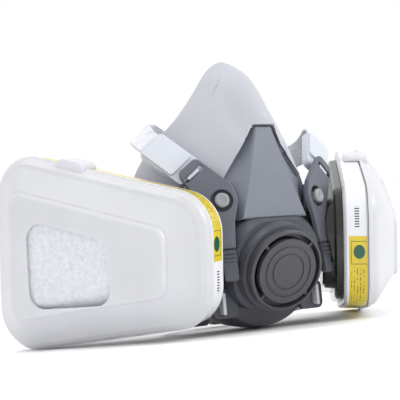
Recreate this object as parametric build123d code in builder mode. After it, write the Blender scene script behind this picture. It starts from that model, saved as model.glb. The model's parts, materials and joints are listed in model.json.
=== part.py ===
from build123d import *
from math import cos, radians, sin
import os

os.makedirs("parts", exist_ok=True)

# Half-face respirator, nose up, resting on the lower edges of its two bayonet cartridges.
# X runs across the face, -Y is the front, +Z is up, and the floor is at Z = 0.
# "left" is the -X side, as seen from the front.  Every paired piece is made once, on
# the left, and mirrored.  All sizes are in millimetres.

# ---- driving dimensions ----
GAP = 0.3                 # clearance between neighbouring pieces
SEAL_LEAN = 9.8           # lean of the sections of the face seal, degrees
SEAL_FOOT_Y = 21.4        # where the plane of the seal's zero section meets the floor
SEAL_CENTRE_H = 62.0      # height about which the seal sections are scaled
SEAL_INNER = 0.93         # inside of the seal wall, as a share of its outside
BODY_INNER = 1.012        # inside and outside of the rigid body that wraps the seal
BODY_OUTER = 1.075
BODY_TOP = 70.0           # top edge of the rigid body
CHIN_TOP = 63.0           # top of the body's flat front, which closes the chin
CHIN_DEPTH = 39.0         # depth of its back

VALVE_Y, VALVE_Z = -44.0, 26.3   # front of the exhalation cover, on the centre line
VALVE_DIP = 20.7          # the exhalation valve points this far below level, degrees
COVER_R = 19.3            # exhalation cover, outer radius
COVER_SLOT_R = 17.8       # outer radius of the air slot
COVER_DISC_R = 15.3       # disc in the middle of the cover
VALVE_BORE_R = 15.6

STUD = (-26.4, -36.0, 61.1)      # centre of the stud that holds the left yoke arm
ARM_TURN = 24.7           # the arm's face turns outwards, degrees
ARM_TIP_UP = 4.9          # and leans up, degrees
ARM_THICK = 2.6
STUD_HOLE_R = 5.2

CART_BASE = (-35.97, -39.74, 35.31)   # front end of the left cartridge's back plane
CART_SWEEP = 34.0         # the cartridge faces sideways, turned this far to the front
CART_DIP = 5.0            # and looks down, degrees
CART_RISE = 7.6           # long axis of the cartridge rises to the rear, degrees
CORE_FRONT_X, CORE_FRONT_H = -24.2, 2.5     # core of the rounded outline: half heights
CORE_REAR_X, CORE_REAR_H = -79.3, 13.4      # at its front and rear ends
CART_R = 29.6             # growth from the core to the cartridge wall
CORNER_LESS = 11.0        # corners are rounded by this much less than the growth
CORNER_MIN = 6.0
BASE_LESS = 3.0           # the same for the base, which clears the arm
PORT_X = -37.0            # bayonet centre along the cartridge
PORT_NECK_R = 13.5        # bayonet neck, and the circle that its three lugs reach
LUG_R = 15.6
TWIST = 32.0              # turn of the cartridge from locked to free, degrees
RETAINER_R = 30.4         # widest rounding of the retainer
CART_BACK = -10.0         # levels along the bayonet axis, from the canister's back plane
LUG_LEVEL, LUG_H = -7.7, 2.5
FLANGE_LEVEL = -12.0
WINDOW = [(-39.0, 9.0), (-36.5, -19.5), (-82.0, -24.5), (-83.5, 17.5)]
BOSS_LEVEL = -14.0        # outer end of the body's port boss, by the cartridge's back
PORT_POCKET_R = 17.3      # pocket for the port's flange and gasket
STEM_R = 1.5              # stem of the mushroom valves, their flap and their lift
FLAP_T = 0.6
VALVE_TRAVEL = 1.2
HINGE_V = -21.2           # hinge at the foot of the yoke arm, below its stud
ARM_FOOT = (-2.2, 4.2)    # sides of the foot
STUD_BOSS_R = 7.2
SLOT_UV = (-11.7, 13.6)   # strap slot in the arm: centre, length, width and turn
SLOT_L, SLOT_W, SLOT_TURN = 10.8, 2.8, 38.3
ARM_CORNERS = [3, 3, 6, 6, 8, 0.6, 0.6, 6]
# Valve housing, back to front: (level, width, height, corner rounding)
HOUSING_STEPS = [
    (-27.0, 46.0, 43.0, 14.0),
    (-15.0, 48.0, 44.6, 15.0),
    (-9.4, 45.4, 43.6, 17.0),
    (-9.8, 43.4, 43.4, 21.5),
    (-4.3, 42.0, 42.0, 20.8),
]
STRAP_W = 12.6            # width and thickness of the elastic strap
STRAP_T = 1.6
NECK_W = 10.0             # width of the narrower neck strap

# ---- reference planes ----
SEAL = Plane(
    origin=(0, SEAL_FOOT_Y, 0),
    x_dir=(1, 0, 0),
    z_dir=(0, -cos(radians(SEAL_LEAN)), -sin(radians(SEAL_LEAN))),
)
VALVE = Plane(
    origin=(0, VALVE_Y, VALVE_Z),
    x_dir=(1, 0, 0),
    z_dir=(0, -cos(radians(VALVE_DIP)), -sin(radians(VALVE_DIP))),
)
ARM = Plane(
    origin=STUD,
    x_dir=(cos(radians(ARM_TURN)), -sin(radians(ARM_TURN)), 0),
    z_dir=(
        -sin(radians(ARM_TURN)) * cos(radians(ARM_TIP_UP)),
        -cos(radians(ARM_TURN)) * cos(radians(ARM_TIP_UP)),
        sin(radians(ARM_TIP_UP)),
    ),
)
LEVEL_CARTRIDGE = Plane(
    origin=CART_BASE,
    x_dir=(sin(radians(CART_SWEEP)), -cos(radians(CART_SWEEP)), 0),
    z_dir=(
        -cos(radians(CART_SWEEP)) * cos(radians(CART_DIP)),
        -sin(radians(CART_SWEEP)) * cos(radians(CART_DIP)),
        -sin(radians(CART_DIP)),
    ),
)
CARTRIDGE = Plane(LEVEL_CARTRIDGE.location * Location((0, 0, 0), (0, 0, -CART_RISE)))


def write_pair(part, name):
    """Label and write the left piece and its mirror image."""
    for side, piece in (("left", part), ("right", mirror(part, about=Plane.YZ))):
        piece.label = f"{name}_{side}"
        export_step(piece, f"parts/{piece.label}.step")


# ---- shared shapes ----
# Half outlines (half width, height) of the face cup's sections, by their distance in
# front of the plane that leans back from the chin to the nose.
SEAL_SECTIONS = {
    -20: [(0, 139), (9, 134), (18, 122), (28.5, 108), (39.5, 92),
          (46.5, 70), (45, 47), (37, 29), (22, 13), (0, 6.6)],
    0: [(0, 137.3), (9, 132.8), (17.7, 120.7), (27, 106.5), (37, 91),
        (44.5, 69), (43.5, 47), (36, 30), (22, 14), (0, 7.6)],
    18: [(0, 130), (8, 126.5), (15, 115), (23, 102), (31, 88),
         (38.5, 67), (39, 47), (33.5, 30), (20, 14.5), (0, 8.5)],
    32: [(0, 119.5), (7, 116), (12.5, 105), (18.5, 94), (25, 82),
         (31, 65), (32.5, 47), (29, 31), (18, 16), (0, 10)],
    41: [(0, 109.5), (6, 106), (11, 97), (16, 87), (21, 77),
         (25.5, 64), (27, 47), (24.5, 31), (16, 18), (0, 12.5)],
}
# Edge of the face seal, seen from the side, as (y, z) points from nose to chin.
SEAL_EDGE = [
    (-2, 150), (-2.5, 130), (2, 110), (12, 95), (20.5, 81),
    (24, 62), (21, 34), (12, 10), (8, -5),
]
# Nose shield outlines (half width, height above its foot): top, shoulder, foot.
SHIELD_FRONT = [(4.4, 43.8), (12.1, 18.2), (17.7, 0)]
SHIELD_REAR = [(5.6, 44.1), (21.6, 18.7), (19.0, 0)]
SHIELD_DEPTH = 7.4
SHIELD_WALL = 1.8
SHIELD_FACE = Plane(
    origin=(0, -38.4, 51.8),
    x_dir=(1, 0, 0),
    z_dir=(0, -cos(radians(3.6)), sin(radians(3.6))),
)


def cup(last, scale, mode=Mode.ADD):
    """Smooth solid of the face cup, from behind the face to the section `last`."""
    faces = []
    for depth, points in SEAL_SECTIONS.items():
        if depth > last:
            continue
        half = [(x * scale, SEAL_CENTRE_H + (h - SEAL_CENTRE_H) * scale) for x, h in points]
        other = [(-x, h) for x, h in reversed(half[1:-1])]
        with BuildSketch(SEAL.offset(depth)) as section:
            with BuildLine():
                Spline(half + other, periodic=True)
            make_face()
        faces.append(section.sketch)
    loft(faces, mode=mode)


def chin_front(inner, outer, grow, mode=Mode.ADD):
    """Flat front of the chin, cut from the front section of the cup, between two depths."""
    half = [(x + grow, h) for x, h in SEAL_SECTIONS[41][1:-1]]
    ends = [(0, SEAL_SECTIONS[41][0][1]), (0, SEAL_SECTIONS[41][-1][1] - grow)]
    outline = [ends[0]] + half + [ends[1]] + [(-x, h) for x, h in reversed(half)]
    with BuildSketch(SEAL.offset(inner)) as plate:
        with BuildLine():
            Spline(outline, periodic=True)
        make_face()
        with Locations((0, CHIN_TOP - 60)):
            Rectangle(120, 120, mode=Mode.INTERSECT)
    extrude(plate.sketch, amount=outer - inner, mode=mode)


def cut_behind(points):
    """Remove everything behind a curve of (y, z) points, right across the object."""
    far = 90
    with BuildSketch(Plane.YZ) as behind:
        with BuildLine():
            curve = Spline(points)
            Polyline(curve @ 1, (far, points[-1][1]), (far, points[0][1]), curve @ 0)
        make_face()
    extrude(behind.sketch, amount=far, both=True, mode=Mode.SUBTRACT)


def rod(plane, radius, inner, outer, centre=(0, 0), mode=Mode.ADD):
    """Cylinder square to a plane, between two levels along its normal."""
    with BuildSketch(plane.offset(inner)) as disc:
        with Locations(centre):
            Circle(radius)
    extrude(disc.sketch, amount=outer - inner, mode=mode)


def port_rod(radius, inner, outer, mode=Mode.ADD):
    """Cylinder on the left bayonet axis."""
    rod(CARTRIDGE, radius, inner, outer, (PORT_X, 0), mode)


def both_sides(part, mode=Mode.ADD):
    """Put a left-hand shape and its mirror image into the piece."""
    add(part, mode=mode)
    add(mirror(part, about=Plane.YZ, mode=Mode.PRIVATE), mode=mode)


def block(plane, width, height, inner, outer, centre=(0, 0), turn=0, corner=1.0, mode=Mode.ADD):
    """Plate with rounded corners, between two levels of a plane."""
    with BuildSketch(plane.offset(inner)) as face:
        with Locations(Location((centre[0], centre[1], 0), (0, 0, turn))):
            RectangleRounded(width, height, corner)
    extrude(face.sketch, amount=outer - inner, mode=mode)


def shield_block(grow, front=0.0, rear=-SHIELD_DEPTH, bevel=0.0, mode=Mode.ADD):
    """Faceted block of the nose shield, its outlines grown by a clearance."""
    steps = [(front - bevel, SHIELD_FRONT, grow), (rear, SHIELD_REAR, grow)]
    if bevel:
        steps.insert(0, (front, SHIELD_FRONT, grow - bevel))
    faces = []
    for level, outline, wider in steps:
        right = [(x + wider, h + (wider if h > 10 else -wider)) for x, h in outline]
        left = [(-x, h) for x, h in reversed(right)]
        with BuildSketch(SHIELD_FACE.offset(level)) as face:
            Polygon(*(right + left), align=None)
        faces.append(face.sketch)
    loft(faces, ruled=True, mode=mode)


def rings(*steps, less=CORNER_LESS, mode=Mode.ADD):
    """Solid through cartridge outlines, given as (level, growth from the core) steps."""
    slope = (CORE_REAR_H - CORE_FRONT_H) / (CORE_FRONT_X - CORE_REAR_X)
    faces = []
    for level, growth in steps:
        corner = max(growth - less, CORNER_MIN)
        sharp = growth - corner
        rise = sharp * (1 + slope**2) ** 0.5
        front_x, front_h = CORE_FRONT_X + sharp, CORE_FRONT_H + rise - slope * sharp
        rear_x, rear_h = CORE_REAR_X - sharp, CORE_REAR_H + rise + slope * sharp
        with BuildSketch(CARTRIDGE.offset(level)) as outline:
            Polygon((front_x, front_h), (front_x, -front_h), (rear_x, -rear_h), (rear_x, rear_h), align=None)
            offset(amount=corner)
        faces.append(outline.sketch)
    loft(faces, ruled=True, mode=mode)


def ribbon(stations, width, thickness):
    """Flat strap through stations, each a centre and the direction across the strap."""
    faces = []
    last = len(stations) - 1
    for i, (centre, across) in enumerate(stations):
        along = Vector(stations[min(i + 1, last)][0]) - Vector(stations[max(i - 1, 0)][0])
        along = along.normalized()
        flat = (Vector(across) - along * along.dot(Vector(across))).normalized()
        with BuildSketch(Plane(origin=centre, x_dir=flat, z_dir=along)) as section:
            Rectangle(width, thickness)
        faces.append(section.sketch)
    loft(faces, ruled=True)


def lugs(radius, width, level, height, turn, mode=Mode.ADD):
    """Three bayonet lugs, or the notches for them, about the port."""
    reach = radius - PORT_NECK_R + 2
    with BuildSketch(CARTRIDGE.offset(level)) as three:
        with Locations((PORT_X, 0)):
            with PolarLocations(radius - reach / 2, 3, start_angle=turn):
                Rectangle(reach, width)
    extrude(three.sketch, amount=height, mode=mode)


def valve_seat(plane, centre, outer, level, height):
    """Ring with a cross and a guide hole for a valve's stem."""
    rod(plane, outer, level, level + height, centre)
    rod(plane, outer - 1.8, level, level + height, centre, mode=Mode.SUBTRACT)
    for turn in (0, 90):
        block(plane, 2 * outer - 2, 2, level, level + height, centre, turn, corner=0.9)
    rod(plane, 3.2, level, level + height, centre)
    rod(plane, STEM_R + 0.05, level, level + height, centre, mode=Mode.SUBTRACT)


def valve_flap(plane, centre, radius, seat, height, outward):
    """Thin mushroom flap beside a seat, with its stem through the seat's guide."""
    side = 1 if outward else -1
    near = seat + height + GAP if outward else seat - GAP
    far = near + side * FLAP_T
    rod(plane, radius, min(near, far), max(near, far), centre)
    hub = far + side * 0.8
    rod(plane, 3.0, min(far, hub), max(far, hub), centre)
    back = seat - VALVE_TRAVEL - 0.4 if outward else seat + height + VALVE_TRAVEL + 0.4
    knob = back - side * 1.6
    rod(plane, STEM_R, min(back, near), max(back, near), centre)
    rod(plane, STEM_R + 0.6, min(back, knob), max(back, knob), centre)


# ---- face seal: soft cup that meets the face ----
with BuildPart() as port_hole:
    port_rod(PORT_NECK_R + GAP, -45, 0)
    port_rod(PORT_POCKET_R, BOSS_LEVEL, 0)

with BuildPart() as face_seal:
    cup(41, 1.0)
    cut_behind(SEAL_EDGE)
    cup(32, SEAL_INNER, mode=Mode.SUBTRACT)
    shield_block(GAP, front=8, mode=Mode.SUBTRACT)
    rod(VALVE, VALVE_BORE_R, -50, 0, mode=Mode.SUBTRACT)
    both_sides(port_hole.part, Mode.SUBTRACT)
    chin_front(CHIN_DEPTH - GAP, 42, 3, mode=Mode.SUBTRACT)
face_seal.part.label = "face_seal"
export_step(face_seal.part, "parts/face_seal.step")

# ---- rigid body: wraps the lower half of the seal and carries the ports ----
with BuildPart() as port_boss:
    port_rod(17.0, -36, BOSS_LEVEL)

with BuildPart() as stud_boss:
    rod(ARM, STUD_BOSS_R, -16, -ARM_THICK - GAP)

with BuildPart() as face_body:
    cup(41, BODY_OUTER)
    cut_behind([(14, 150), (13, 90), (13, 62), (11, 34), (5, 14), (0, -5)])
    both_sides(port_boss.part)
    both_sides(stud_boss.part)
    cup(41, BODY_INNER, mode=Mode.SUBTRACT)
    chin_front(CHIN_DEPTH, 41, 1)
    with BuildSketch(Plane.YZ) as above:
        Polygon((-60, BODY_TOP - 6), (60, BODY_TOP + 8), (60, 190), (-60, 190), align=None)
    extrude(above.sketch, amount=90, both=True, mode=Mode.SUBTRACT)
    shield_block(GAP, front=8, mode=Mode.SUBTRACT)
    rod(VALVE, VALVE_BORE_R, -50, 0, mode=Mode.SUBTRACT)
    both_sides(port_hole.part, Mode.SUBTRACT)
face_body.part.label = "face_body"
export_step(face_body.part, "parts/face_body.step")

# ---- nose shield: faceted hard cover ----
with BuildPart() as nose_shield:
    shield_block(0, bevel=0.6)
    shield_block(-SHIELD_WALL, front=-SHIELD_WALL, rear=-SHIELD_DEPTH - 1, mode=Mode.SUBTRACT)
nose_shield.part.label = "nose_shield"
export_step(nose_shield.part, "parts/nose_shield.step")

# ---- yoke arms: swing on the ridges at their foot, held by the studs ----
ARM_OUTLINE = [
    (-19.3, 14.4), (-10.3, 21.4), (5.2, 7.5), (7.6, 0),
    (5.0, -10), (ARM_FOOT[1], HINGE_V), (ARM_FOOT[0], HINGE_V), (-3.8, -12),
]
KNUCKLE = Plane(
    origin=ARM.from_local_coords(Vector(ARM_FOOT[0], HINGE_V, -ARM_THICK / 2)), z_dir=ARM.x_dir,
)
with BuildPart() as yoke_arm:
    with BuildSketch(ARM.offset(-ARM_THICK)):
        with BuildLine():
            FilletPolyline(ARM_OUTLINE, radius=ARM_CORNERS, close=True)
        make_face()
    extrude(amount=ARM_THICK)
    chamfer(yoke_arm.faces().sort_by(Axis((0, 0, 0), ARM.z_dir))[-1].edges(), 0.5)
    rod(ARM, STUD_HOLE_R, -ARM_THICK, 0, mode=Mode.SUBTRACT)
    block(ARM, SLOT_L, SLOT_W, -ARM_THICK, 0, SLOT_UV, SLOT_TURN, mode=Mode.SUBTRACT)
    rod(KNUCKLE, ARM_THICK / 2, 0, ARM_FOOT[1] - ARM_FOOT[0])
write_pair(yoke_arm.part, "yoke_arm")

with BuildPart() as yoke_base:
    block(ARM, 6.4, 14.2, -ARM_THICK, 0, (1.0, HINGE_V - ARM_THICK / 2 - GAP - 7.1), corner=1.2)
    for ridge in range(3):
        at = (1.0, HINGE_V - 2.9 - 1.8 * ridge)
        block(ARM, 5.6, 1.0, 0, 0.7, at, corner=0.4)
write_pair(yoke_base.part, "yoke_base")

with BuildPart() as yoke_stud:
    rod(ARM, 2.6, -ARM_THICK - GAP, 0.4)
    rod(ARM, 3.4, 0.4, 2.0)
    fillet(yoke_stud.faces().sort_by(Axis((0, 0, 0), ARM.z_dir))[-1].edges(), 0.9)
    with Locations(ARM.offset(7.4).location):
        Sphere(5.8, mode=Mode.SUBTRACT)
write_pair(yoke_stud.part, "yoke_stud")

# ---- valve housing: stepped block in front of the exhalation valve ----
LOOP = Plane(origin=(24.0, -24.0, 14.0), x_dir=(1, 0, 0), z_dir=(0, -1, 0))

with BuildPart() as neck_loop:
    block(LOOP, 13, 13.6, -1.5, 1.5, corner=3)
    block(LOOP, 3.0, NECK_W + 0.8, -1.5, 1.5, (2.0, 0), mode=Mode.SUBTRACT)

with BuildPart() as arm_room:
    block(ARM, 7.4, 50, -ARM_THICK - GAP, 3, (1.0, -20))

with BuildPart() as valve_housing:
    faces = []
    for level, width, height, corner in HOUSING_STEPS:
        with BuildSketch(VALVE.offset(level)) as step:
            RectangleRounded(width, height, corner)
        faces.append(step.sketch)
    loft(faces[:3], ruled=True)
    loft(faces[3:], ruled=True)
    both_sides(neck_loop.part)
    rod(VALVE, VALVE_BORE_R, -30, -4, mode=Mode.SUBTRACT)
    cup(41, BODY_OUTER + 0.008, mode=Mode.SUBTRACT)
    shield_block(GAP, front=8, rear=-12, mode=Mode.SUBTRACT)
    both_sides(arm_room.part, Mode.SUBTRACT)
valve_housing.part.label = "valve_housing"
export_step(valve_housing.part, "parts/valve_housing.step")

# ---- exhalation cover: ring, disc and four spokes ----
with BuildPart() as exhalation_cover:
    rod(VALVE, COVER_R, -4.0, 0)
    fillet(exhalation_cover.faces().sort_by(Axis((0, 0, 0), VALVE.z_dir))[-1].edges(), 0.8)
    rod(VALVE, COVER_SLOT_R, -4.0, 0, mode=Mode.SUBTRACT)
    rod(VALVE, COVER_DISC_R, -2.2, 0.4)
    for groove in (12.4, 8.8):
        rod(VALVE, groove, 0.0, 0.4, mode=Mode.SUBTRACT)
        rod(VALVE, groove - 0.9, -0.2, 0.4)
    for turn in (45, 135):
        block(VALVE, 2 * COVER_SLOT_R + 0.8, 1.3, -2.6, -0.7, turn=turn, corner=0.2)
exhalation_cover.part.label = "exhalation_cover"
export_step(exhalation_cover.part, "parts/exhalation_cover.step")

with BuildPart() as exhalation_valve_seat:
    valve_seat(VALVE, (0, 0), VALVE_BORE_R - 0.2, -14, 1.6)
exhalation_valve_seat.part.label = "exhalation_valve_seat"
export_step(exhalation_valve_seat.part, "parts/exhalation_valve_seat.step")

with BuildPart() as exhalation_valve:
    valve_flap(VALVE, (0, 0), VALVE_BORE_R - 1.2, -14, 1.6, outward=True)
exhalation_valve.part.label = "exhalation_valve"
export_step(exhalation_valve.part, "parts/exhalation_valve.step")

# ---- bayonet ports with their gaskets and inhalation valves ----
PORT = (PORT_X, 0)
with BuildPart() as bayonet_port:
    port_rod(PORT_NECK_R, -35, LUG_LEVEL + LUG_H)
    port_rod(17.0, BOSS_LEVEL + 0.2, FLANGE_LEVEL)
    lugs(LUG_R, 7.0, LUG_LEVEL, LUG_H, 0)
    port_rod(PORT_NECK_R - 1.6, -35, 0, mode=Mode.SUBTRACT)
write_pair(bayonet_port.part, "bayonet_port")

with BuildPart() as inhalation_gasket:
    port_rod(16.8, FLANGE_LEVEL + 0.2, CART_BACK - 0.2)
    port_rod(PORT_NECK_R + 0.2, FLANGE_LEVEL, CART_BACK, mode=Mode.SUBTRACT)
write_pair(inhalation_gasket.part, "inhalation_gasket")

with BuildPart() as inhalation_valve_seat:
    valve_seat(CARTRIDGE, PORT, PORT_NECK_R - 1.8, -33, 1.6)
write_pair(inhalation_valve_seat.part, "inhalation_valve_seat")

with BuildPart() as inhalation_valve:
    valve_flap(CARTRIDGE, PORT, PORT_NECK_R - 2.6, -33, 1.6, outward=False)
write_pair(inhalation_valve.part, "inhalation_valve")

# ---- cartridges: stepped base, canister, label, sorbent, perforated lid ----
with BuildPart() as cartridge_base:
    rings((CART_BACK, 19.6), (-8.8, 21.0), (-4.2, 21.4), less=BASE_LESS)
    rings((-4.2, 25.2), (-3.2, 26.4), (-0.2, 26.8), less=BASE_LESS)
    rings((-8.0, 19.0), (-2.6, 19.4), less=BASE_LESS, mode=Mode.SUBTRACT)
    rings((-2.6, 24.4), (0, 24.8), less=BASE_LESS, mode=Mode.SUBTRACT)
    port_rod(PORT_NECK_R + 0.4, -11, -7, mode=Mode.SUBTRACT)
    lugs(LUG_R + 0.6, 8.2, -11, 4, TWIST, mode=Mode.SUBTRACT)
write_pair(cartridge_base.part, "cartridge_base")

with BuildPart() as cartridge_body:
    rings((0, CART_R - 0.8), (0.8, CART_R), (11.4, CART_R))
    rings((11.4, CART_R - 1.0), (14.4, CART_R - 1.0))
    rings((1.6, CART_R - 2.2), (15, CART_R - 2.2), mode=Mode.SUBTRACT)
    port_rod(12.0, -1, 2, mode=Mode.SUBTRACT)
write_pair(cartridge_body.part, "cartridge_body")

with BuildPart() as cartridge_label:
    rings((1.4, CART_R + 0.35), (10.8, CART_R + 0.35))
    rings((1.0, CART_R + 0.05), (11.2, CART_R + 0.05), mode=Mode.SUBTRACT)
write_pair(cartridge_label.part, "cartridge_label")

with BuildPart() as sorbent_bed:
    rings((1.9, CART_R - 2.5), (9.2, CART_R - 2.5))
write_pair(sorbent_bed.part, "sorbent_bed")

with BuildPart() as cartridge_lid:
    rings((9.5, CART_R - 2.4), (11.0, CART_R - 2.4))
    middle = (CORE_FRONT_X + CORE_REAR_X) / 2
    with BuildSketch(CARTRIDGE.offset(9.5)) as holes:
        with Locations((middle, 0)):
            with GridLocations(9, 9, 9, 5):
                Circle(2.2)
    extrude(holes.sketch, amount=2, mode=Mode.SUBTRACT)
write_pair(cartridge_lid.part, "cartridge_lid")

# ---- prefilter and the retainer that snaps over it ----
with BuildPart() as particulate_filter:
    rings((11.3, 26.9), (14.6, 26.4), (17.4, 22.8), (23.6, 11.4), (24.9, 9.4))
write_pair(particulate_filter.part, "particulate_filter")

with BuildPart() as retainer:
    rings(
        (11.8, RETAINER_R + 0.4), (13.2, RETAINER_R + 0.2), (13.4, RETAINER_R - 0.3),
        (15.4, RETAINER_R - 1.3), (17.2, RETAINER_R - 3.2), (18.2, RETAINER_R - 5.2),
        (24.8, 15.4), (25.2, 14.6), (26.6, 14.2), (27.0, 13.4),
    )
    block(CARTRIDGE, 15, 9, 3.6, 16, (-66, 40), turn=-11.6, corner=4)
    rings((-5, CART_R + 0.7), (11.8, CART_R + 0.7), mode=Mode.SUBTRACT)
    rings(
        (11, 29.0), (14.8, 28.6), (16.4, 26.6), (17.4, 24.4),
        (24.0, 13.6), (25.5, 13.2), (25.6, 12.6), mode=Mode.SUBTRACT,
    )
    with BuildSketch(CARTRIDGE.offset(20)) as window:
        with BuildLine():
            FilletPolyline(*WINDOW, radius=8, close=True)
        make_face()
    extrude(window.sketch, amount=10, mode=Mode.SUBTRACT)
write_pair(retainer.part, "retainer")

# ---- upper strap buckles: hooked through the slots of the arms ----
BUCKLE = Plane(origin=(-34.9, -25.6, 74.6), x_dir=(0.77, -0.085, 0.632), z_dir=(-0.43, -0.80, 0.41))
with BuildPart() as strap_buckle:
    block(BUCKLE, 15.4, 27.2, -2.6, 1.0, (0, 13.4), corner=2)
    block(BUCKLE, 14.2, 19.6, 0.5, 2.2, (0, 16.3), corner=1.5)
    block(BUCKLE, STRAP_W + 0.6, 30, -1.2, 0.9, (0, 17.5), corner=0.3, mode=Mode.SUBTRACT)
    block(ARM, SLOT_L - 4.0, SLOT_W - 1.4, -6.0, -0.5, SLOT_UV, SLOT_TURN, corner=0.6)
write_pair(strap_buckle.part, "strap_buckle")

with BuildPart() as strap_end:
    block(BUCKLE, STRAP_W, 23.0, -0.95, -0.95 + STRAP_T, (0, 17.0), corner=0.3)
write_pair(strap_end.part, "strap_end")

# ---- elastic straps, lying as they were left ----
BUCKLE_ACROSS = (0.77, -0.085, 0.632)
UPPER_LEFT = [
    ((-48.9, -8.0, 94.0), BUCKLE_ACROSS),
    ((-49.9, -6.2, 96.2), BUCKLE_ACROSS),
    ((-48.6, -2.2, 98.0), (0.75, 0, 0.65)),
    ((-44.2, 2.8, 98.6), (0.65, 0, 0.75)),
    ((-38.5, 10.5, 99.5), (0.45, 0, 0.9)),
    ((-30.5, 19.5, 100.5), (0.2, 0.1, 1.0)),
    ((-20.5, 29.0, 98.5), (0.2, 0.2, 1.0)),
    ((-13.5, 37.5, 92.0), (0.7, 0.1, 0.6)),
    ((-12.0, 41.4, 84.5), (1.0, 0, 0)),
]
UPPER_RIGHT = [
    ((48.9, -8.0, 94.0), (-0.77, -0.085, 0.632)),
    ((50.2, -4.6, 96.0), (-0.8, 0, 0.6)),
    ((51.4, 0.4, 94.0), (-0.6, 0.3, 0.7)),
    ((51.0, 8.0, 90.5), (-0.3, 0.1, 0.9)),
    ((48.5, 17.5, 88.0), (-0.1, 0, 1.0)),
    ((41.0, 27.5, 89.5), (0, 0, 1.0)),
    ((28.0, 34.5, 93.0), (0, 0, 1.0)),
    ((16.0, 38.5, 92.0), (-0.6, 0.1, 0.7)),
    ((12.0, 41.4, 84.5), (-1.0, 0, 0)),
]
for name, stations in (("upper_strap_left", UPPER_LEFT), ("upper_strap_right", UPPER_RIGHT)):
    with BuildPart() as upper_strap:
        ribbon(stations, STRAP_W, STRAP_T)
    upper_strap.part.label = name
    export_step(upper_strap.part, f"parts/{name}.step")

with BuildPart() as neck_strap:
    ribbon(
        [
            ((-26.0, -28.5, 14.0), (0, 0, 1)),
            ((-26.2, -22.4, 14.0), (0, 0, 1)),
            ((-30.6, -17.2, 13.0), (0, 0, 1)),
            ((-36.4, -8.0, 11.8), (0, 0, 1)),
            ((-38.5, 4.0, 10.8), (0, 0, 1)),
            ((-38.5, 17.0, 9.4), (0, 0, 1)),
            ((-31.5, 29.0, 8.6), (0, 0, 1)),
            ((-20.0, 36.0, 8.4), (0, 0, 1)),
            ((-11.8, 38.0, 8.4), (0, 0, 1)),
        ],
        NECK_W, STRAP_T,
    )
write_pair(neck_strap.part, "neck_strap")

# ---- neck clasp: a hook on one strap end and the clip that takes it on the other ----
CLASP = Plane(origin=(0, 38.0, 8.4), x_dir=(1, 0, 0), z_dir=(0, -1, 0))
with BuildPart() as neck_hook:
    block(CLASP, 10.5, 14, -1.6, 1.6, (-6.0, 0), corner=2)
    block(CLASP, 4, NECK_W + 1, -1.2, 1.2, (-10.0, 0), corner=0.3, mode=Mode.SUBTRACT)
    block(CLASP, 7.5, 6.4, -1.0, 1.0, (1.5, 0), corner=0.8)
    block(CLASP, 2.0, 10.0, -1.0, 1.0, (4.4, 0), corner=0.8)
neck_hook.part.label = "neck_hook"
export_step(neck_hook.part, "parts/neck_hook.step")

with BuildPart() as neck_clip:
    block(CLASP, 11.5, 14, -2.4, 2.4, (6.2, 0), corner=2)
    block(CLASP, 4, NECK_W + 1, -1.2, 1.2, (10.6, 0), corner=0.3, mode=Mode.SUBTRACT)
    block(CLASP, 6.4, 7.4, -1.3, 1.3, (1.0, 0), corner=0.3, mode=Mode.SUBTRACT)
    block(CLASP, 3.4, 11.0, -1.3, 1.3, (4.5, 0), corner=0.3, mode=Mode.SUBTRACT)
neck_clip.part.label = "neck_clip"
export_step(neck_clip.part, "parts/neck_clip.step")

# ---- head cradle: open oval crown piece with two strap ears ----
CRADLE = Plane(origin=(0, 45.0, 54.0), x_dir=(1, 0, 0), z_dir=(0, -1, 0))
with BuildPart() as head_cradle:
    with BuildSketch(CRADLE):
        Ellipse(33, 27)
        for x in (-12, 12):
            with Locations((x, 27)):
                RectangleRounded(19, 14, 3)
        Ellipse(23, 16.5, mode=Mode.SUBTRACT)
        for x in (-12, 12):
            with Locations((x, 29)):
                SlotOverall(14, 3, mode=Mode.SUBTRACT)
    extrude(amount=2.2)
head_cradle.part.label = "head_cradle"
export_step(head_cradle.part, "parts/head_cradle.step")
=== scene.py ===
import json
import math

import bmesh
import bpy
from mathutils import Matrix, Vector


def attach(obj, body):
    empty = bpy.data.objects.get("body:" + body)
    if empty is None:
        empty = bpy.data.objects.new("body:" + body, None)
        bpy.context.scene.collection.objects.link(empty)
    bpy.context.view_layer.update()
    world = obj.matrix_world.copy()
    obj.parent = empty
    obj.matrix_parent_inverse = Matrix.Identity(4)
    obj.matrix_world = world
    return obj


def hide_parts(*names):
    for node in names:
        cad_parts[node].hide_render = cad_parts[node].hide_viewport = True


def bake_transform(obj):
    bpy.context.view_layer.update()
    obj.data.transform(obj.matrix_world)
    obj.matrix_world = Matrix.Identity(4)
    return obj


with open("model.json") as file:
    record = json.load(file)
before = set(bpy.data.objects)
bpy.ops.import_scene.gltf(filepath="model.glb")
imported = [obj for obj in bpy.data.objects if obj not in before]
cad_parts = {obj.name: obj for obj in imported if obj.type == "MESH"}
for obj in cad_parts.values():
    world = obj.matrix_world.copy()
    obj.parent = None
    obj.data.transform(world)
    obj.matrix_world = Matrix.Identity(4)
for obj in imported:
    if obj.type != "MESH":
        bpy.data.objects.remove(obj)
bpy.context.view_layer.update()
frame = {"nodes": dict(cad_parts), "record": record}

MM = 0.001
SIDES = {"left": 1, "right": -1}      # factor on x that takes the left side, at -X, to each side


def mirrored(v):
    """The same point or direction on the other side of the middle plane."""
    return Vector((-v[0], v[1], v[2]))


# Places of the CAD, in millimetres. What exists twice is given for the left side.
VALVE_CENTRE = Vector((0, -44.0, 26.3))
VALVE_OUT = Vector((0, -0.93544, -0.35347))
PORT_CENTRE = Vector((-56.83, -9.57, 40.19))
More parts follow.
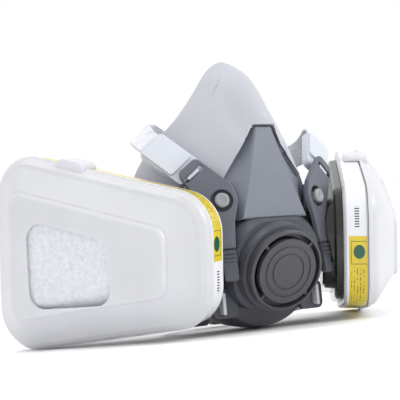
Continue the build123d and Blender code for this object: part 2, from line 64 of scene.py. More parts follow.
# A cartridge's own x, y and level start at its foot; level runs outwards along the bayonet's axis.
CARTRIDGE_FOOT = Vector((-35.97, -39.74, 35.31))
CARTRIDGE_LONG = Vector((0.56384, -0.81531, -0.13175))
CARTRIDGE_UP = Vector((0.00234, -0.15795, 0.98744))
CARTRIDGE_OUT = Vector((-0.82588, -0.55707, -0.08716))


# ---------------------------------------------------------------- camera, floor and lights
def make_camera():
    """Low camera at the front left, looking slightly up."""
    place = (-0.22711, -0.39310, 0.02718)
    right = Vector((0.8832, -0.4594, -0.0947))
    up = Vector((0.0440, -0.1197, 0.9918))
    forward = Vector((0.4669, 0.8802, 0.0855))
    data = bpy.data.cameras.new("camera")
    data.lens = 81.0
    data.sensor_width = 36.0
    data.clip_start = 0.01
    camera = bpy.data.objects.new("camera", data)
    turn = Matrix((right, up, -forward)).transposed().to_4x4()
    camera.matrix_world = Matrix.Translation(place) @ turn
    bpy.context.scene.collection.objects.link(camera)
    bpy.context.scene.camera = camera


def make_light(name, place, target, size, watts):
    """Round light of a size in metres, aimed at a point."""
    data = bpy.data.lights.new(name, "AREA")
    data.shape = "DISK"
    data.size = size
    data.energy = watts
    light = bpy.data.objects.new(name, data)
    light.location = place
    light.rotation_euler = (Vector(target) - Vector(place)).to_track_quat("-Z", "Y").to_euler()
    bpy.context.scene.collection.objects.link(light)


def make_studio():
    """White floor in an evenly white surrounding, with two soft lights."""
    floor_size = 24.0
    middle = (0, -0.01, 0.06)
    bpy.ops.mesh.primitive_plane_add(size=floor_size)
    floor = bpy.context.object
    floor.name = "floor"
    floor.data.materials.append(material_floor())
    world = bpy.data.worlds.new("studio")
    world.use_nodes = True
    background = world.node_tree.nodes["Background"]
    background.inputs["Color"].default_value = (1, 1, 1, 1)
    background.inputs["Strength"].default_value = 1.0
    bpy.context.scene.world = world
    make_light("key", (0.7, -0.7, 0.7), middle, size=0.6, watts=5)
    make_light("top", (-0.5, 0.2, 1.2), middle, size=0.8, watts=4)


# ---------------------------------------------------------------- materials
def srgb(*levels):
    """Linear colour from 0 to 255 display levels."""
    out = []
    for level in levels:
        c = level / 255
        out.append(c / 12.92 if c <= 0.04045 else ((c + 0.055) / 1.055) ** 2.4)
    return (*out, 1.0)


def new_material(name):
    made = bpy.data.materials.new(name)
    made.use_nodes = True
    tree = made.node_tree
    return made, tree, tree.nodes["Principled BSDF"]


def add_node(tree, kind, **values):
    """New node; each value sets the input of that name or, if there is none, the property."""
    node = tree.nodes.new(kind)
    for key, value in values.items():
        if key in node.inputs:
            node.inputs[key].default_value = value
        else:
            setattr(node, key, value)
    return node


def mottle(tree, scale, detail=4.0):
    """Noise over the object's own coordinates, in metres."""
    place = add_node(tree, "ShaderNodeTexCoord")
    cloud = add_node(tree, "ShaderNodeTexNoise", Scale=scale, Detail=detail)
    tree.links.new(place.outputs["Object"], cloud.inputs["Vector"])
    return cloud.outputs["Fac"]


def ramp(tree, factor, stops):
    """Colour over a factor, from (place, colour) stops."""
    node = add_node(tree, "ShaderNodeValToRGB")
    tree.links.new(factor, node.inputs["Fac"])
    points = node.color_ramp.elements
    for i, (place, colour) in enumerate(stops):
        point = points[i] if i < 2 else points.new(place)
        point.position = place
        point.color = colour
    return node.outputs["Color"]


def shade(colour, share):
    return (colour[0] * share, colour[1] * share, colour[2] * share, 1.0)


def set_inputs(shader, values):
    for name, value in values.items():
        shader.inputs[name].default_value = value


def paint(tree, shader, factor, stops):
    """Base colour from a ramp over a factor."""
    tree.links.new(ramp(tree, factor, stops), shader.inputs["Base Color"])


def gloss(tree, shader, scale, low, high):
    """Roughness that drifts between two values."""
    drift = add_node(tree, "ShaderNodeMapRange", **{"To Min": low, "To Max": high})
    tree.links.new(mottle(tree, scale), drift.inputs["Value"])
    tree.links.new(drift.outputs["Result"], shader.inputs["Roughness"])


def emboss(tree, shader, height, strength, distance, invert=False):
    """Fine relief from a height, distance metres deep."""
    bump = add_node(tree, "ShaderNodeBump", Strength=strength, Distance=distance, invert=invert)
    tree.links.new(height, bump.inputs["Height"])
    tree.links.new(bump.outputs["Normal"], shader.inputs["Normal"])


def moulded(name, colour, rough=0.45, patchy=0.12):
    """Moulded plastic or rubber: fine spark-eroded grain and faint tonal patches."""
    patch_scale, gloss_scale, grain_scale = 38.0, 160.0, 2200.0
    rough_spread, relief, relief_depth = 0.08, 0.05, 0.0002
    made, tree, shader = new_material(name)
    tones = [(0.3, shade(colour, 1 - patchy)), (0.7, shade(colour, 1 + patchy))]
    paint(tree, shader, mottle(tree, patch_scale), tones)
    gloss(tree, shader, gloss_scale, rough - rough_spread, rough + rough_spread)
    emboss(tree, shader, mottle(tree, grain_scale, 2.0), relief, relief_depth)
    return made


def maths(tree, operation, first, second=None):
    """Math node; each input is a socket or a number."""
    node = add_node(tree, "ShaderNodeMath", operation=operation)
    for i, value in enumerate((first, second)):
        if value is None:
            continue
        if isinstance(value, (int, float)):
            node.inputs[i].default_value = value
        else:
            tree.links.new(value, node.inputs[i])
    return node.outputs["Value"]


def product(tree, first, *others):
    """All the masks multiplied together."""
    for other in others:
        first = maths(tree, "MULTIPLY", first, other)
    return first


def between(tree, value, low, high, soft=0.15):
    """1 inside a range and 0 outside; its edges are soft wide, in the value's own unit."""
    rise = add_node(tree, "ShaderNodeMapRange")
    fall = add_node(tree, "ShaderNodeMapRange")
    for node, edge, up in ((rise, low, 1), (fall, high, -1)):
        node.inputs["From Min"].default_value = edge - soft / 2 * up
        node.inputs["From Max"].default_value = edge + soft / 2 * up
        tree.links.new(value, node.inputs["Value"])
    return maths(tree, "MULTIPLY", rise.outputs["Result"], fall.outputs["Result"])


def over(tree, value, least, soft):
    """1 where a value, which never passes 1, is over a threshold."""
    return between(tree, value, least, 2, soft)


def stripes(tree, value, waves, least, soft):
    """1 on the crests of a sine over a value, in radians for each millimetre."""
    return over(tree, maths(tree, "SINE", maths(tree, "MULTIPLY", value, waves)), least, soft)


def cartridge_coordinates(tree, side):
    """Sockets with a cartridge's own x, y and level, in millimetres."""
    place = add_node(tree, "ShaderNodeTexCoord")
    found = []
    for axis in (CARTRIDGE_LONG, CARTRIDGE_UP, CARTRIDGE_OUT):
        origin, along = CARTRIDGE_FOOT, axis
        if side == "right":
            origin, along = mirrored(origin), mirrored(along)
        from_origin = add_node(tree, "ShaderNodeVectorMath", operation="SUBTRACT")
        from_origin.inputs[1].default_value = origin * MM
        tree.links.new(place.outputs["Object"], from_origin.inputs[0])
        share = add_node(tree, "ShaderNodeVectorMath", operation="DOT_PRODUCT")
        share.inputs[1].default_value = along / MM
        tree.links.new(from_origin.outputs["Vector"], share.inputs[0])
        found.append(share.outputs["Value"])
    return found


def blend_colour(tree, factor, under, over):
    """Colour mix; under and over are sockets or colours."""
    node = add_node(tree, "ShaderNodeMix", data_type="RGBA")
    tree.links.new(factor, node.inputs["Factor"])
    for name, value in (("A", under), ("B", over)):
        socket = [i for i in node.inputs if i.name == name and i.type == "RGBA"][0]
        if isinstance(value, tuple):
            socket.default_value = value
        else:
            tree.links.new(value, socket)
    return [o for o in node.outputs if o.type == "RGBA"][0]


# Print on the label band, in millimetres. Heights run along the band, from the line where white
# meets yellow towards the yellow; levels run across it. A patch is a range of each.
LABEL_SPLIT = {"left": (-0.5, 1), "right": (5.8, -1)}     # y of that line, and the way to the yellow
LABEL_FRONT = (-22, 20)                                   # x of the printed end
LABEL_LEVELS = (2.3, 10.9)
YELLOW_HEIGHTS = (0, 90)
BOX_OUTER = ((2.4, 13.6), (3.2, 12))
BOX_INNER = ((2.75, 13.25), (3.55, 12))
SPOT_HEIGHT, SPOT_LEVEL, SPOT_RADIUS, SPOT_SQUEEZE = 7.6, 7.2, 3.4, 1.25
DASHES = ((15.5, 34), (3.2, 10.2))
BARS = ((-14, -4), (5.2, 7.4))
DASH_WAVES, BAR_WAVES = 4.3, 5.2


def material_label(side):
    """Printed band: a white part and a yellow part with a boxed green spot and rows of dashes."""
    made, tree, shader = new_material(f"label_{side}")
    x, y, level = cartridge_coordinates(tree, side)
    split, way = LABEL_SPLIT[side]
    height = maths(tree, "MULTIPLY", maths(tree, "SUBTRACT", y, split), way)
    film = between(tree, level, *LABEL_LEVELS, 0.2)
    front = between(tree, x, *LABEL_FRONT)

    def patch(heights, levels):
        return product(tree, between(tree, height, *heights), between(tree, level, *levels))

    yellow = product(tree, between(tree, height, *YELLOW_HEIGHTS), film)
    border = maths(tree, "SUBTRACT", patch(*BOX_OUTER), patch(*BOX_INNER))
    box = product(tree, border, front, film)
    along = maths(tree, "POWER", maths(tree, "SUBTRACT", height, SPOT_HEIGHT), 2)
    offset = maths(tree, "SUBTRACT", level, SPOT_LEVEL)
    across = maths(tree, "POWER", maths(tree, "MULTIPLY", offset, SPOT_SQUEEZE), 2)
    from_spot = maths(tree, "SQRT", maths(tree, "ADD", along, across))
    spot = product(tree, between(tree, from_spot, -1, SPOT_RADIUS, 0.3), front)
    rows = stripes(tree, level, DASH_WAVES, 0.45, 0.3)
    breaks = over(tree, mottle(tree, 900.0, 1.0), 0.5, 0.02)
    dashes = product(tree, rows, breaks, patch(*DASHES), front)
    bars = product(tree, stripes(tree, height, BAR_WAVES, 0.1, 0.4), patch(*BARS), front)

    paper = ramp(tree, mottle(tree, 30.0), [(0.3, srgb(222, 224, 229)), (0.7, srgb(230, 231, 236))])
    ink = ramp(tree, mottle(tree, 60.0), [(0.3, srgb(206, 182, 34)), (0.7, srgb(216, 194, 42))])
    colour = blend_colour(tree, yellow, paper, ink)
    colour = blend_colour(tree, box, colour, srgb(96, 104, 40))
    colour = blend_colour(tree, spot, colour, srgb(22, 84, 62))
    colour = blend_colour(tree, dashes, colour, srgb(120, 110, 40))
    colour = blend_colour(tree, bars, colour, srgb(40, 40, 48))
    tree.links.new(colour, shader.inputs["Base Color"])
    set_inputs(shader, {"Roughness": 0.24, "Coat Weight": 0.3})
    return made


def material_retainer():
    """Milky polypropylene: cloudy, slightly see-through, with a soft gloss."""
    made, tree, shader = new_material("retainer_milky")
    paint(tree, shader, mottle(tree, 26.0), [(0.25, srgb(222, 223, 229)), (0.75, srgb(231, 232, 238))])
    gloss(tree, shader, 90.0, 0.26, 0.42)
    set_inputs(shader, {
        "Subsurface Weight": 0.35, "Subsurface Radius": (1.0, 1.0, 1.1), "Subsurface Scale": 0.004,
        "Transmission Weight": 0.22,
    })
    emboss(tree, shader, mottle(tree, 420.0, 3.0), 0.06, 0.0004)
    return made


def material_fibre():
    """Non-woven felt: matted fibres, two sizes of fuzz."""
    made, tree, shader = new_material("filter_fibre")
    fine = maths(tree, "MULTIPLY", mottle(tree, 1300.0, 6.0), 0.5)
    coarse = maths(tree, "MULTIPLY", mottle(tree, 420.0, 5.0), 0.5)
    fuzz = maths(tree, "ADD", fine, coarse)
    paint(tree, shader, fuzz, [(0.36, srgb(200, 202, 208)), (0.64, srgb(222, 224, 230))])
    set_inputs(shader, {"Roughness": 0.95, "Sheen Weight": 0.3, "Sheen Roughness": 0.5})
    emboss(tree, shader, fuzz, 0.7, 0.0006)
    return made


def material_elastic():
    """Knitted elastic: fine cross stitches over the modelled ribs."""
    made, tree, shader = new_material("strap_elastic")
    stitches = mottle(tree, 2600.0, 3.0)
    paint(tree, shader, stitches, [(0.35, srgb(206, 208, 214)), (0.65, srgb(232, 234, 240))])
    set_inputs(shader, {"Roughness": 0.85, "Sheen Weight": 0.25})
    emboss(tree, shader, stitches, 0.5, 0.0003)
    return made


def material_granules():
    """Packed carbon granules, each painted darker towards its edge as shade in the gaps between grains.
    """
    made, tree, shader = new_material("sorbent_granules")
    place = add_node(tree, "ShaderNodeTexCoord")
    cells = add_node(tree, "ShaderNodeTexVoronoi", Scale=700.0)
    tree.links.new(place.outputs["Object"], cells.inputs["Vector"])
    distance = cells.outputs["Distance"]
    # Painted shade: the ramp darkens each grain from its centre towards the gaps between grains.
    paint(tree, shader, distance, [(0.1, srgb(66, 66, 70)), (0.7, srgb(22, 22, 24))])
    set_inputs(shader, {"Roughness": 0.6})
    emboss(tree, shader, distance, 0.8, 0.0006, invert=True)
    return made


def material_floor():
    """Matt white, hardly mottled."""
    made, tree, shader = new_material("studio_floor")
    paint(tree, shader, mottle(tree, 3.0), [(0, (0.97, 0.97, 0.97, 1)), (1, (0.99, 0.99, 0.99, 1))])
    set_inputs(shader, {"Roughness": 0.9, "Specular IOR Level": 0.0})
    return made


make_camera()
make_studio()
bpy.context.scene.view_settings.view_transform = "Standard"


# ---------------------------------------------------------------- mesh helpers
def add_mesh(name, verts, faces, look):
    """Mesh object from points in millimetres."""
    data = bpy.data.meshes.new(name)
    data.from_pydata([tuple(c * MM for c in v) for v in verts], [], faces)
    data.validate()
    data.update()
    made = bpy.data.objects.new(name, data)
    bpy.context.scene.collection.objects.link(made)
    data.materials.append(look)
    for face in data.polygons:
        face.use_smooth = True
    return made


def modify(piece, kind, **values):
    """Add a modifier, set it and apply it; an object it refers to is removed."""
    change = piece.modifiers.new(kind.lower(), kind)
    for key, value in values.items():
        setattr(change, key, value)
    bpy.context.view_layer.objects.active = piece
    bpy.ops.object.modifier_apply(modifier=change.name)
    if "object" in values:
        bpy.data.objects.remove(values["object"])


def grid_faces(rows, columns, closed):
    """Quads between rows of points; closed joins the last column to the first."""
    faces = []
    for i in range(rows - 1):
        for j in range(columns if closed else columns - 1):
            k = (j + 1) % columns
            faces.append((i * columns + j, i * columns + k, (i + 1) * columns + k, (i + 1) * columns + j))
    return faces


def cap_faces(rows, columns):
    """Faces that close the first and the last of rows of points."""
    last = (rows - 1) * columns
    return [tuple(range(columns)), tuple(reversed(range(last, last + columns)))]


def curve_through(points, t, closed=False):
    """Point of a Catmull-Rom curve through points, at t from 0 to their count."""
    count = len(points)
    i = int(math.floor(t))
    f = t - i

    def pick(k):
        return Vector(points[k % count] if closed else points[min(max(k, 0), count - 1)])

    a, b, c, d = (pick(i + k) for k in (-1, 0, 1, 2))
    square, cube = 2 * a - 5 * b + 4 * c - d, 3 * b - a - 3 * c + d
    return 0.5 * (2 * b + (c - a) * f + square * f * f + cube * f ** 3)


def fix_normals(piece):
    shape = bmesh.new()
    shape.from_mesh(piece.data)
    bmesh.ops.recalc_face_normals(shape, faces=shape.faces)
    shape.to_mesh(piece.data)
    shape.free()


def smooth_by_angle(piece, degrees):
    """Smooth shading with sharp edges where faces meet at more than an angle."""
    shape = bmesh.new()
    shape.from_mesh(piece.data)
    for edge in shape.edges:
        edge.smooth = len(edge.link_faces) != 2 or edge.calc_face_angle(0) < math.radians(degrees)
    for face in shape.faces:
        face.smooth = True
    shape.to_mesh(piece.data)
    shape.free()


def cutter(name, verts, faces):
    """Closed block for a boolean."""
    made = add_mesh(name, verts, faces, LOOKS["seal_elastomer"])
    fix_normals(made)
    return made


def rod(name, centre, axis, radius, inner, outer, sides=64):
    """Cylinder along an axis, between two levels from its centre, in millimetres."""
    axis = Vector(axis).normalized()
    across = axis.orthogonal().normalized()
    other = axis.cross(across)
    verts = []
    for level in (inner, outer):
        for i in range(sides):
            a = 2 * math.pi * i / sides
            spoke = math.cos(a) * across + math.sin(a) * other
            verts.append(Vector(centre) + axis * level + radius * spoke)
    return cutter(name, verts, grid_faces(2, sides, closed=True) + cap_faces(2, sides))


# ---------------------------------------------------------------- face seal
SEAL_LEAN = math.radians(9.8)
SEAL_FOOT = Vector((0, 21.4, 0))
SEAL_FORWARD = Vector((0, -math.cos(SEAL_LEAN), -math.sin(SEAL_LEAN)))
SEAL_UP = Vector((0, -math.sin(SEAL_LEAN), math.cos(SEAL_LEAN)))
SEAL_CENTRE_H = 62.0                  # height that the cup's sections shrink towards
# Half outlines (half width, height) of the cup, by their distance in front of its zero plane.
SEAL_SECTIONS = {
    -20: [(0, 139), (9, 134), (18, 122), (28.5, 108), (39.5, 92),
          (46.5, 70), (45, 47), (37, 29), (22, 13), (0, 6.6)],
    0: [(0, 137.3), (9, 132.8), (17.7, 120.7), (27, 106.5), (37, 91),
        (44.5, 69), (43.5, 47), (36, 30), (22, 14), (0, 7.6)],
    18: [(0, 130), (8, 126.5), (15, 115), (23, 102), (31, 88),
         (38.5, 67), (39, 47), (33.5, 30), (20, 14.5), (0, 8.5)],
    32: [(0, 119.5), (7, 116), (12.5, 105), (18.5, 94), (25, 82),
         (31, 65), (32.5, 47), (29, 31), (18, 16), (0, 10)],
    41: [(0, 109.5), (6, 106), (11, 97), (16, 87), (21, 77),
         (25.5, 64), (27, 47), (24.5, 31), (16, 18), (0, 12.5)],
}
# Edge of the seal, seen from the side, as (y, z) points from nose to chin.
SEAL_EDGE = [
    (-2, 150), (-2.5, 130), (2, 110), (12, 95), (20.5, 81),
    (24, 62), (21, 34), (12, 10), (8, -5),
]
SEAL_COLUMNS = 200
EDGE_STEPS = 160
EDGE_CURVE = [
    curve_through(SEAL_EDGE, (len(SEAL_EDGE) - 1) * i / EDGE_STEPS) for i in range(EDGE_STEPS + 1)
]


def seal_edge_y(height):
    """How far back the edge of the seal reaches at a height."""
    for above, below in zip(EDGE_CURVE, EDGE_CURVE[1:]):
        if below[1] <= height <= above[1]:
            share = (above[1] - height) / max(above[1] - below[1], 1e-6)
            return above[0] + (below[0] - above[0]) * share
    return EDGE_CURVE[-1][0]


def seal_point(around, depth, scale=1.0):
    """Point of the cup: around is 0 at the nose and 0.5 at the chin."""
    depths = sorted(SEAL_SECTIONS)
    rings = []
    for key in depths:
        half = SEAL_SECTIONS[key]
        whole = half + [(-x, h) for x, h in reversed(half[1:-1])]
        rings.append(curve_through(whole, around * len(whole), closed=True))
    span = max(i for i in range(len(depths) - 1) if depths[i] <= max(depth, depths[0]))
    width = depths[span + 1] - depths[span]
    f = (depth - depths[span]) / width

    def slope(k):
        lo, hi = max(k - 1, 0), min(k + 1, len(depths) - 1)
        return (rings[hi] - rings[lo]) / (depths[hi] - depths[lo])

    # Hermite curve from the section behind the point to the one in front of it.
    a, b = rings[span], rings[span + 1]
    m0, m1 = slope(span) * width, slope(span + 1) * width
    q = (
        (2 * f ** 3 - 3 * f ** 2 + 1) * a + (f ** 3 - 2 * f ** 2 + f) * m0
        + (3 * f ** 2 - 2 * f ** 3) * b + (f ** 3 - f ** 2) * m1
    )
    x, h = q[0] * scale, SEAL_CENTRE_H + (q[1] - SEAL_CENTRE_H) * scale
    return SEAL_FOOT + depth * SEAL_FORWARD + h * SEAL_UP + Vector((x, 0, 0))


def seal_rim_depth(around):
    """Depth at which the cup meets its edge, found by halving."""
    low, high, halvings = -18.0, 40.0, 18
    for _ in range(halvings):
        middle = (low + high) / 2
        p = seal_point(around, middle)
        if p.y > seal_edge_y(p.z):
            low = middle
        else:
            high = middle
    return (low + high) / 2


def crease(p):
    """Hollow fold along each side of the flat of the nose, on the front of the cup only."""
    ridge, wide, deep = 9.0, 4.2, 2.6
    top, bottom, rearmost = 126.0, 88.0, -14
    back, down = 0.85, 0.3
    if p.z < bottom or p.z > top or p.y > rearmost:
        return p
    fade = math.sin(math.pi * (p.z - bottom) / (top - bottom)) ** 0.7
    dent = deep * fade * math.exp(-(((abs(p.x) - ridge) / wide) ** 2))
    return p + Vector((0, dent * back, -dent * down))


# Outlines of the nose shield, as (half width, height), in front and at the rear.
SHIELD_FOOT = Vector((0, -38.4, 51.8))
SHIELD_LEAN = math.radians(3.6)
SHIELD_OUT = Vector((0, -math.cos(SHIELD_LEAN), math.sin(SHIELD_LEAN)))
SHIELD_UP = Vector((0, math.sin(SHIELD_LEAN), math.cos(SHIELD_LEAN)))
SHIELD_FRONT = [(4.4, 43.8), (12.1, 18.2), (17.7, 0)]
SHIELD_REAR = [(5.6, 44.1), (21.6, 18.7), (19.0, 0)]
SHIELD_DEPTH = 7.4


def shield_prism(name, grow, rear, front, corners=3):
    """Block with the nose shield's outline, grown, between two levels; 2 corners leave out its foot."""
    foot_height = 10                  # points under this grow downwards
    verts = []
    for level in (rear, front):
        share = min(max(-level / SHIELD_DEPTH, 0), 1)
        half = []
        for (x0, h0), (x1, h1) in zip(SHIELD_FRONT[:corners], SHIELD_REAR):
            h = h0 + (h1 - h0) * share
            half.append((x0 + (x1 - x0) * share + grow, h + (grow if h > foot_height else -grow)))
        for x, h in half + [(-x, h) for x, h in reversed(half)]:
            verts.append(SHIELD_FOOT + SHIELD_OUT * level + SHIELD_UP * h + Vector((x, 0, 0)))
    count = 2 * corners
    return cutter(name, verts, grid_faces(2, count, closed=True) + cap_faces(2, count))


def chin_cutter():
    """Box in front of the seal's chin, where the rigid body has its flat front."""
    half_width, low, high = 45, -10, 63.3
    rear, front = 38.7, 50
    verts = []
    for depth in (rear, front):
        for x, h in ((-half_width, low), (half_width, low), (half_width, high), (-half_width, high)):
            verts.append(SEAL_FOOT + depth * SEAL_FORWARD + h * SEAL_UP + Vector((x, 0, 0)))
    return cutter("cut_chin", verts, grid_faces(2, 4, closed=True) + cap_faces(2, 4))


def seal_cutters():
    """Shapes cut from the seal: exhalation bore, bayonet ports, shield pocket and chin."""
    port_radius, port_inner = 13.9, -46
    valve_radius, valve_inner = 15.8, -50
    outer = 10
    pocket_gap, pocket_floor, pocket_front = 0.7, 0.4, 12
    return [
        rod("cut_valve", VALVE_CENTRE, VALVE_OUT, valve_radius, valve_inner, outer),
        rod("cut_left", PORT_CENTRE, CARTRIDGE_OUT, port_radius, port_inner, outer),
        rod("cut_right", mirrored(PORT_CENTRE), mirrored(CARTRIDGE_OUT), port_radius, port_inner, outer),
        shield_prism("cut_shield", pocket_gap, -SHIELD_DEPTH - pocket_floor, pocket_front),
        chin_cutter(),
    ]


def seal_line(around):
    """Profile of the cup at one place around it, from the middle of its front to the inside."""
    front, inner_front, front_round = 41.0, 35.0, 0.8
    wall_rows, lining_rows = 40, 12
    flap = [                              # (scale, distance in front of the rim)
        (0.997, -0.6), (0.985, -1.1), (0.965, -0.8), (0.93, 0.5), (0.89, 2.2), (0.86, 3.8),
        (0.85, 4.6), (0.86, 5.0), (0.89, 4.2), (0.92, 3.6), (0.945, 4.2), (0.952, 6.0),
    ]
    lining, turn = flap[-1]
    rim = seal_rim_depth(around)
    line = [seal_point(around, front, share) for share in (0.25, 0.5, 0.75, 0.93, 0.985)]
    for i in range(wall_rows + 1):
        depth = front - front_round + (rim - front + front_round) * i / wall_rows
        line.append(seal_point(around, depth))
    for scale, forward in flap:
        line.append(seal_point(around, rim + forward, scale))
    for i in range(1, lining_rows + 1):
        depth = rim + turn + (inner_front - rim - turn) * i / lining_rows
        line.append(seal_point(around, depth, lining))
    return line + [seal_point(around, inner_front, share) for share in (0.88, 0.7, 0.45, 0.2)]


def make_seal():
    """Soft cup with a rolled edge and an in-turned flap that lies on the face."""
    columns = [seal_line(j / SEAL_COLUMNS) for j in range(SEAL_COLUMNS)]
    rows = len(columns[0])
    verts = [crease(columns[j][i]) for i in range(rows) for j in range(SEAL_COLUMNS)]
    faces = grid_faces(rows, SEAL_COLUMNS, closed=True) + cap_faces(rows, SEAL_COLUMNS)
    seal = add_mesh("face_seal_cup", verts, faces, LOOKS["seal_elastomer"])
    fix_normals(seal)
    lip = shield_prism("lip", grow=2.4, rear=-4.5, front=-0.4, corners=2)
    modify(seal, "BOOLEAN", operation="UNION", solver="EXACT", object=lip)
    for shape in seal_cutters():
        modify(seal, "BOOLEAN", operation="DIFFERENCE", solver="EXACT", object=shape)
    smooth_by_angle(seal, degrees=40)
    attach(seal, "root")
    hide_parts("face_seal")


# ---------------------------------------------------------------- elastic straps
def make_band(name, stations, width, thick, ribs):
    """Woven elastic band with lengthwise ribs, through stations of centre and cross direction."""
    step, rib_height, look_ahead = 1.1, 0.16, 0.02
    edge_start, edge_width, edge_drop = 0.93, 0.07, 0.35
    nearly_all, t_last = 0.99999, len(stations) - 1.0001      # the curve has no point past its end
    centres = [Vector(c) for c, _ in stations]
    crosses = [Vector(a).normalized() for _, a in stations]
    length = sum((b - a).length for a, b in zip(centres, centres[1:]))
    rows = int(length / step)
    per_face = ribs * 4 + 1
    verts = []
    for i in range(rows + 1):
        t = (len(stations) - 1) * min(i / rows, nearly_all)
        here = curve_through(centres, t)
        ahead = curve_through(centres, min(t + look_ahead, t_last))
        behind = curve_through(centres, max(t - look_ahead, 0))
        along = (ahead - behind).normalized()
        cross = curve_through(crosses, t)
        cross = (cross - along * cross.dot(along)).normalized()
        out = along.cross(cross)
        for face in (1, -1):
            for k in range(per_face):
                u = (k / (per_face - 1) - 0.5) * face
                rib = rib_height * (abs(math.sin(math.pi * ribs * (u + 0.5))) - 1)
                edge = edge_drop * max(0, abs(u) * 2 - edge_start) / edge_width
                verts.append(here + cross * (u * width) + out * face * (thick / 2 + rib - edge))
    faces = grid_faces(rows + 1, 2 * per_face, closed=True) + cap_faces(rows + 1, 2 * per_face)
    band = add_mesh(name, verts, faces, LOOKS["strap_elastic"])
    fix_normals(band)
    smooth_by_angle(band, degrees=50)
    return band, length


# Routes in millimetres, as (centre, cross direction), from the buckle or the loop to the back.
UPPER_STRAPS = {
    "left": [
        ((-40.5, -18.3, 82.6), (0.77, -0.085, 0.632)),
        ((-44.4, -13.6, 88.0), (0.77, -0.085, 0.632)),
        ((-48.9, -8.0, 94.0), (0.77, -0.085, 0.632)),
        ((-49.9, -6.2, 96.2), (0.77, -0.085, 0.632)),
        ((-48.6, -2.2, 98.0), (0.75, 0, 0.65)),
        ((-44.2, 2.8, 98.6), (0.65, 0, 0.75)),
        ((-38.5, 10.5, 99.5), (0.45, 0, 0.9)),
        ((-30.5, 19.5, 100.5), (0.2, 0.1, 1.0)),
        ((-20.5, 29.0, 98.5), (0.2, 0.2, 1.0)),
        ((-13.5, 37.5, 92.0), (0.7, 0.1, 0.6)),
        ((-12.0, 41.4, 84.5), (1.0, 0, 0)),
    ],
    "right": [
        ((40.5, -18.3, 82.6), (-0.77, -0.085, 0.632)),
        ((44.4, -13.6, 88.0), (-0.77, -0.085, 0.632)),
        ((48.9, -8.0, 94.0), (-0.77, -0.085, 0.632)),
        ((50.2, -4.6, 96.0), (-0.8, 0, 0.6)),
        ((51.4, 0.4, 94.0), (-0.6, 0.3, 0.7)),
        ((51.0, 8.0, 90.5), (-0.3, 0.1, 0.9)),
        ((48.5, 17.5, 88.0), (-0.1, 0, 1.0)),
        ((41.0, 27.5, 89.5), (0, 0, 1.0)),
        ((28.0, 34.5, 93.0), (0, 0, 1.0)),
        ((16.0, 38.5, 92.0), (-0.6, 0.1, 0.7)),
        ((12.0, 41.4, 84.5), (-1.0, 0, 0)),
    ],
}
NECK_ROUTE = [
    ((-26.0, -28.5, 14.0), (0, 0, 1)),
    ((-26.2, -22.4, 14.0), (0, 0, 1)),
    ((-30.6, -17.2, 13.0), (0, 0, 1)),
    ((-36.4, -8.0, 11.8), (0, 0, 1)),
    ((-38.5, 4.0, 10.8), (0, 0, 1)),
    ((-38.5, 17.0, 9.4), (0, 0, 1)),
    ((-31.5, 29.0, 8.6), (0, 0, 1)),
    ((-20.0, 36.0, 8.4), (0, 0, 1)),
    ((-11.8, 38.0, 8.4), (0, 0, 1)),
]
STRAP_WIDTH, NECK_WIDTH, STRAP_THICK = 12.6, 10.0, 1.6
UPPER_RIBS, NECK_RIBS = 9, 7


def make_straps():
    """Upper straps from the buckles to the crown piece, and neck straps from the loops to the clasp."""
    for side, flip in SIDES.items():
        route = UPPER_STRAPS[side]
        strap, length = make_band(f"elastic_strap_{side}", route, STRAP_WIDTH, STRAP_THICK, UPPER_RIBS)
        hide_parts(f"upper_strap_{side}", f"strap_end_{side}")
        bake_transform(strap)
        route = [(Vector((c[0] * flip, c[1], c[2])), a) for c, a in NECK_ROUTE]
        neck, length = make_band(f"elastic_neck_strap_{side}", route, NECK_WIDTH, STRAP_THICK, NECK_RIBS)
        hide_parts(f"neck_strap_{side}")
        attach(neck, "root")


# ---------------------------------------------------------------- filter pads
CORE_FRONT, CORE_REAR = (-24.2, 2.5), (-79.3, 13.4)     # (x, half height) of the core's ends
CORE_MIDDLE = Vector((-53.0, 0))
CORNER_LESS, CORNER_MIN = 11.0, 6.0   # a corner's radius is the growth less this, but at least that
PAD_SIDES = [                         # (level, growth) from the back of the pad to its crown
    (11.3, 25.6), (12.2, 26.7), (14.6, 26.4), (16.4, 24.2), (18.4, 20.4), (23.2, 11.4),
]


def cartridge_point(side, x, y, level):
    """Place of a point given by a cartridge's own x, y and level."""
    p = CARTRIDGE_FOOT + CARTRIDGE_LONG * x + CARTRIDGE_UP * y + CARTRIDGE_OUT * level
    return p if side == "left" else mirrored(p)


def outline(growth, arc=14, run=16, shrink=1.0):
    """Rounded outline grown from the core; shrink pulls it towards its middle."""
    corner = max(growth - CORNER_LESS, CORNER_MIN)
    sharp = growth - corner
    slope = (CORE_REAR[1] - CORE_FRONT[1]) / (CORE_FRONT[0] - CORE_REAR[0])
    rise = sharp * math.sqrt(1 + slope ** 2)
    front = (CORE_FRONT[0] + sharp, CORE_FRONT[1] + rise - slope * sharp)
    rear = (CORE_REAR[0] - sharp, CORE_REAR[1] + rise + slope * sharp)
    core = [front, (front[0], -front[1]), (rear[0], -rear[1]), rear]
    points = []
    for i in range(4):
        before, here, after = (Vector(core[(i + k) % 4]) for k in (-1, 0, 1))
        into, away = (here - before).normalized(), (after - here).normalized()
        first = math.atan2(into.x, -into.y)
        last = math.atan2(away.x, -away.y)
        while last > first:
            last -= 2 * math.pi
        for k in range(arc):
            a = first + (last - first) * k / (arc - 1)
            points.append(here + corner * Vector((math.cos(a), math.sin(a))))
        ahead = after + corner * Vector((math.cos(last), math.sin(last)))
        for k in range(1, run):
            points.append(points[-1].lerp(ahead, 1 / (run - k + 1)))
    return [CORE_MIDDLE + (q - CORE_MIDDLE) * shrink for q in points]


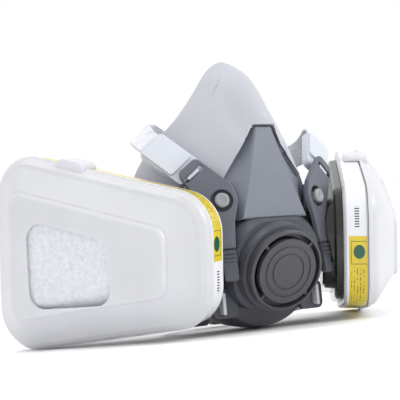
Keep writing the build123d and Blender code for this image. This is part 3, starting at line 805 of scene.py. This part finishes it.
def make_filters():
    """Crowned pads of non-woven fibre behind the retainers' windows."""
    crown_level, crown_rise, crown_growth, crown_rows = 24.6, 1.3, 9.6, 22
    fuzz_height = 0.10
    for side in SIDES:
        rings = [(level, outline(growth)) for level, growth in PAD_SIDES]
        for k in range(crown_rows):
            share = 1 - k / crown_rows
            level = crown_level + crown_rise * math.sqrt(1 - share ** 2)
            rings.append((level, outline(crown_growth, shrink=share)))
        verts = []
        for level, points in rings:
            for q in points:
                fuzz = fuzz_height * math.sin(q.x * 5.1 + 2 * math.sin(q.y * 3.7))
                fuzz *= math.sin(q.y * 6.3 + q.x * 1.9)
                verts.append(cartridge_point(side, q.x, q.y, level + fuzz))
        columns = len(rings[0][1])
        faces = grid_faces(len(rings), columns, closed=True) + cap_faces(len(rings), columns)
        pad = add_mesh(f"filter_pad_{side}", verts, faces, LOOKS["filter_fibre"])
        fix_normals(pad)
        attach(pad, f"retainer_{side}")
        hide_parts(f"particulate_filter_{side}")


# ---------------------------------------------------------------- looks of every piece
LOOKS = {
    "seal_elastomer": moulded("seal_elastomer", srgb(180, 182, 190), 0.5, patchy=0.04),
    "body_plastic": moulded("body_plastic", srgb(76, 78, 86), 0.42),
    # Painted light: the lit copy of the arms' slate plastic, lighter where it faces the light.
    "shield_plastic": moulded("shield_plastic", srgb(116, 121, 132), 0.46, patchy=0.05),
    "cover_plastic": moulded("cover_plastic", srgb(68, 68, 72), 0.42),
    # Painted shade: the shaded copy of the shield's slate plastic.
    "arm_plastic": moulded("arm_plastic", srgb(96, 99, 110), 0.4),
    "stud_plastic": moulded("stud_plastic", srgb(150, 151, 155), 0.3),
    "port_plastic": moulded("port_plastic", srgb(88, 90, 96), 0.42),
    "valve_rubber": moulded("valve_rubber", srgb(52, 54, 60), 0.5),
    "base_plastic": moulded("base_plastic", srgb(40, 40, 38), 0.14),
    "canister_plastic": moulded("canister_plastic", srgb(196, 198, 200), 0.3),
    "sorbent_granules": material_granules(),
    "filter_fibre": material_fibre(),
    "retainer_plastic": material_retainer(),
    "buckle_plastic": moulded("buckle_plastic", srgb(200, 204, 213), 0.28, patchy=0.03),
    "strap_elastic": material_elastic(),
    "cradle_plastic": moulded("cradle_plastic", srgb(120, 124, 132), 0.4),
    "clasp_plastic": moulded("clasp_plastic", srgb(70, 72, 78), 0.4),
}
for side in SIDES:
    LOOKS[f"label_film_{side}"] = material_label(side)

# The label's slot has a look for each side; every other slot has one look.
for part in frame["record"]["subparts"]:
    node = frame["nodes"][part["node"]]
    slot = part["material_slot"]
    look = slot if slot in LOOKS else f"{slot}_{part['node'].rsplit('_', 1)[1]}"
    node.data.materials.clear()
    node.data.materials.append(LOOKS[look])

make_seal()
make_straps()
make_filters()
